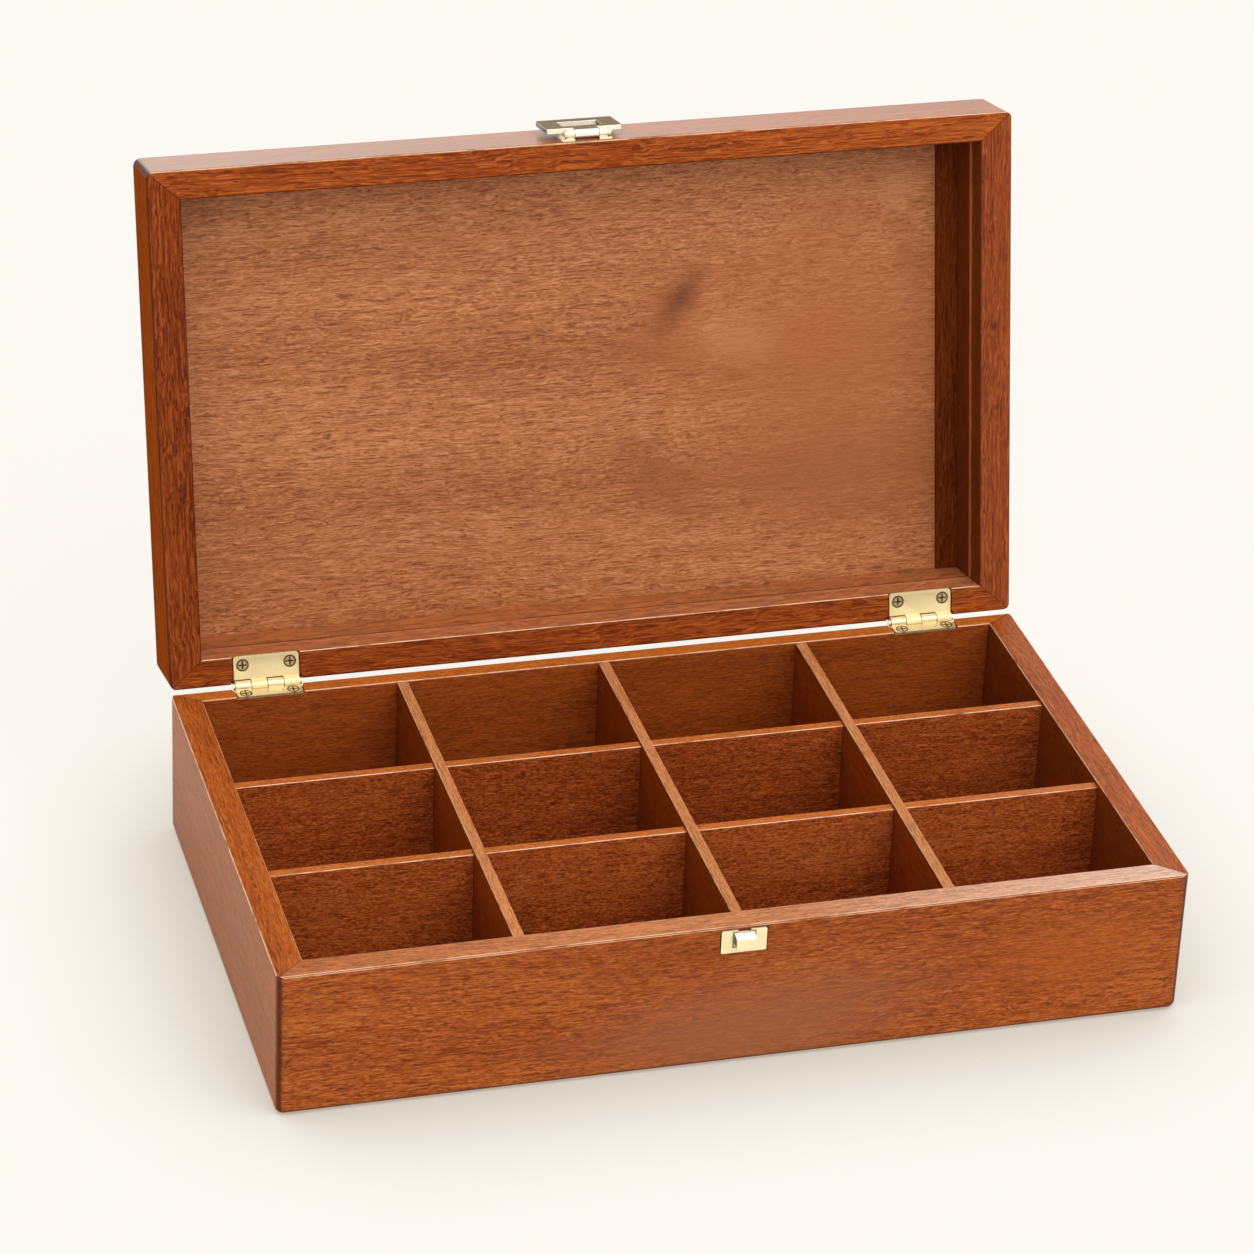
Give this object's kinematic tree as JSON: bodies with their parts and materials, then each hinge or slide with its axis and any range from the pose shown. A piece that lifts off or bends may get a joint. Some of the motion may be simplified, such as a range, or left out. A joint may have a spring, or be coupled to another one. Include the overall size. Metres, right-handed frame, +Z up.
{
  "type": "tea bag organizer box",
  "caption": "Shallow wooden box with a grid of tea bag compartments under a hinged lid, closed by a brass hasp and catch.",
  "frame": {"origin": "middle of the base's underside, on the surface that the box stands on", "axes": "+X to the right along the box's width, +Y to the back where the hinges are, +Z up"},
  "size_m": [0.32, 0.2633, 0.2448],
  "materials": {
    "case_wood": "reddish-brown stain under satin lacquer",
    "divider_wood": "reddish-brown stain under satin lacquer",
    "panel_wood": "lighter brown veneer under satin lacquer",
    "bottom_wood": "brown veneer under satin lacquer",
    "brass": "polished"
  },
  "bodies": {
    "base": {"base_front": "case_wood", "base_back": "case_wood", "base_left": "case_wood", "base_right": "case_wood", "base_bottom": "bottom_wood", "divider_left": "divider_wood", "divider_middle": "divider_wood", "divider_right": "divider_wood", "cross_divider_front": "divider_wood", "cross_divider_back": "divider_wood", "hinge_left_base_leaf": "brass", "hinge_left_pin": "brass", "hinge_right_base_leaf": "brass", "hinge_right_pin": "brass", "base_hinge_screws": "brass", "catch_plate": "brass"},
    "lid": {"lid_front": "case_wood", "lid_back": "case_wood", "lid_left": "case_wood", "lid_right": "case_wood", "lid_panel": "panel_wood", "lid_batten": "case_wood", "hinge_left_lid_leaf": "brass", "hinge_right_lid_leaf": "brass", "lid_hinge_screws": "brass", "latch_plate": "brass", "latch_nails": "brass", "latch_pin": "brass"},
    "hasp": {"hasp": "brass"}
  },
  "joints": [
    {"name": "lid_hinge", "type": "hinge", "parent": "base", "child": "lid", "pos_m": [0, 0.0956, 0.0553], "axis": [1, 0, 0], "range_deg": [0, 102.5]},
    {"name": "hasp_hinge", "type": "hinge", "parent": "lid", "child": "hasp", "pos_m": [0, 0.14079, 0.24297], "axis": [1, 0, 0], "range_deg": [0, 180]}
  ]
}
